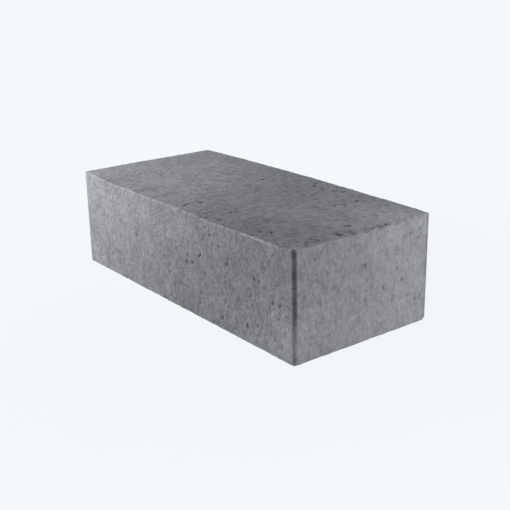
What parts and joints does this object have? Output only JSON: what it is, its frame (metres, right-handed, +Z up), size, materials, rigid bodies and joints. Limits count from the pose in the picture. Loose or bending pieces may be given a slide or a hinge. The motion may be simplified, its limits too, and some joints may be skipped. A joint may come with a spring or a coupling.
{
  "type": "engineering brick",
  "caption": "Solid rectangular fired-clay brick with rounded upright arrises and flat wire-cut bed faces, for laying in mortar.",
  "frame": {"origin": "middle of the lower bed face, on the plane that the brick lies on", "axes": "+X along the length, towards the header face with the chipped upper arris; +Y across the width; +Z up through the height, from bed face to bed face"},
  "size_m": [0.215, 0.1024, 0.065],
  "materials": {
    "fired_clay": "matte"
  },
  "bodies": {
    "root": {"brick": "fired_clay"}
  },
  "joints": []
}
